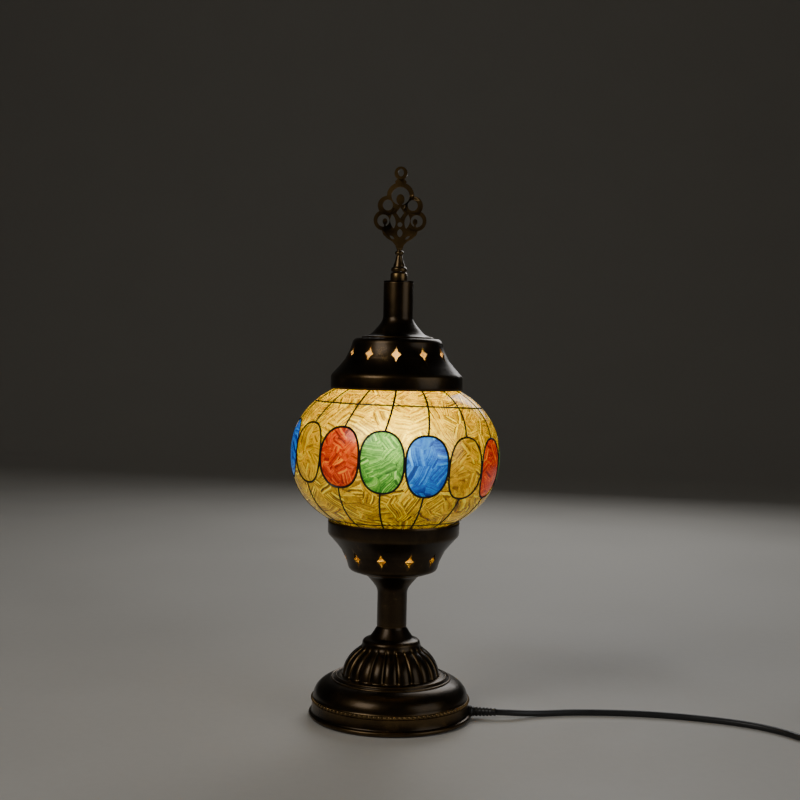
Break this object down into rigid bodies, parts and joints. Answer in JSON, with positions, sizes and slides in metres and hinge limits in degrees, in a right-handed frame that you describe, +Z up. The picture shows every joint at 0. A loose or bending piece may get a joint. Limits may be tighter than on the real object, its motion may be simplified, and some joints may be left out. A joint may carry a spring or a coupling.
{
  "type": "mosaic glass table lamp",
  "caption": "Table lamp: a glass globe covered in coloured oval mosaic tiles between two pierced bronze galleries, on a fluted stem and weighted round base, with an openwork finial.",
  "frame": {"origin": "centre of the base's underside, on the lamp's vertical axis, in the plane that the felt pad rests on", "axes": "+Z up along the lamp's axis, +X towards the side where the mains cord leaves the base, -Y towards the front viewer"},
  "size_m": [0.5086, 0.1688, 0.4193],
  "materials": {
    "felt": "dense dark green felt",
    "steel": "zinc-plated steel",
    "iron": "raw cast iron",
    "antique_bronze": "dark antique bronze, lacquered, worn golden on the edges",
    "brass": "plain yellow brass",
    "antique_brass": "aged cast brass with dark recesses",
    "seal_rubber": "soft black rubber",
    "holder_plastic": "black phenolic plastic",
    "holder_ceramic": "unglazed white porcelain",
    "lead_insulation": "white heat-proof sleeving",
    "globe_glass": "blown amber glass",
    "tile_blue": "translucent azure glass with a crackled face",
    "tile_amber": "translucent golden amber glass with a crackled face",
    "tile_red": "translucent orange red glass with a crackled face",
    "tile_green": "translucent green glass with a crackled face",
    "crackle_glass": "ice-flower patterned golden glass",
    "lead_line": "raised black outline paste",
    "bulb_glass": "opal white glass, lit",
    "bulb_metal": "rolled screw cap",
    "filament": "glowing tungsten wire",
    "cord_pvc": "black satin cord jacket",
    "plug_plastic": "black moulded plastic",
    "rocker_plastic": "black rocker",
    "tie_strap": "hook-and-loop strap"
  },
  "bodies": {
    "root": {"felt_pad": "felt", "base_plate": "steel", "base_screws": "steel", "base_weight": "iron", "base_shell": "antique_bronze", "bead_band": "antique_brass", "fluted_dome": "antique_bronze", "base_washer": "steel", "base_locknut": "brass", "threaded_rod": "brass", "lower_neck": "antique_bronze", "lower_gallery": "antique_bronze", "gallery_washer": "steel", "gallery_nut": "brass", "lower_seal": "seal_rubber", "holder_cap": "holder_plastic", "holder_sleeve": "holder_plastic", "holder_core": "holder_ceramic", "thread_shell": "brass", "centre_contact": "brass", "inner_lead": "lead_insulation", "cord_relief": "plug_plastic", "cord_run": "cord_pvc", "switch_bottom": "plug_plastic", "switch_top": "plug_plastic", "switch_screws": "steel", "cord_link": "cord_pvc", "cord_coil": "cord_pvc", "cord_tie": "tie_strap", "cord_tail": "cord_pvc", "plug_body": "plug_plastic", "plug_pins": "steel"},
    "globe": {"globe_glass": "globe_glass", "tiles_blue": "tile_blue", "tiles_amber": "tile_amber", "tiles_red": "tile_red", "tiles_green": "tile_green", "field_upper": "crackle_glass", "field_lower": "crackle_glass", "field_crown": "crackle_glass", "field_foot": "crackle_glass", "came_lines": "lead_line"},
    "cap": {"upper_seal": "seal_rubber", "cap_gallery": "antique_bronze", "cap_neck": "antique_bronze", "cap_washer": "steel", "cap_nut": "steel", "cap_rod": "steel", "cap_top_washer": "antique_bronze", "finial_collar": "antique_bronze"},
    "finial": {"finial_ferrule": "antique_brass", "finial_filigree": "antique_brass"},
    "bulb": {"bulb_glass": "bulb_glass", "bulb_cap": "bulb_metal", "bulb_stem": "bulb_glass", "bulb_filament": "filament"},
    "rocker": {"switch_rocker": "rocker_plastic"}
  },
  "joints": [
    {"name": "globe_lift", "type": "slide", "parent": "root", "child": "globe", "axis": [0, 0, 1], "range_m": [0, 0.11]},
    {"name": "cap_lift", "type": "slide", "parent": "globe", "child": "cap", "axis": [0, 0, 1], "range_m": [0, 0.05]},
    {"name": "finial_turn", "type": "hinge", "parent": "cap", "child": "finial", "pos_m": [0, 0, 0.36], "axis": [0, 0, 1], "continuous": true},
    {"name": "bulb_turn", "type": "hinge", "parent": "root", "child": "bulb", "pos_m": [0, 0, 0.19], "axis": [0, 0, 1], "range_deg": [0, 1080]},
    {"name": "switch_rock", "type": "hinge", "parent": "root", "child": "rocker", "pos_m": [0.358, -0.06, 0.0106], "axis": [0, 1, 0], "range_deg": [0, 16]}
  ]
}
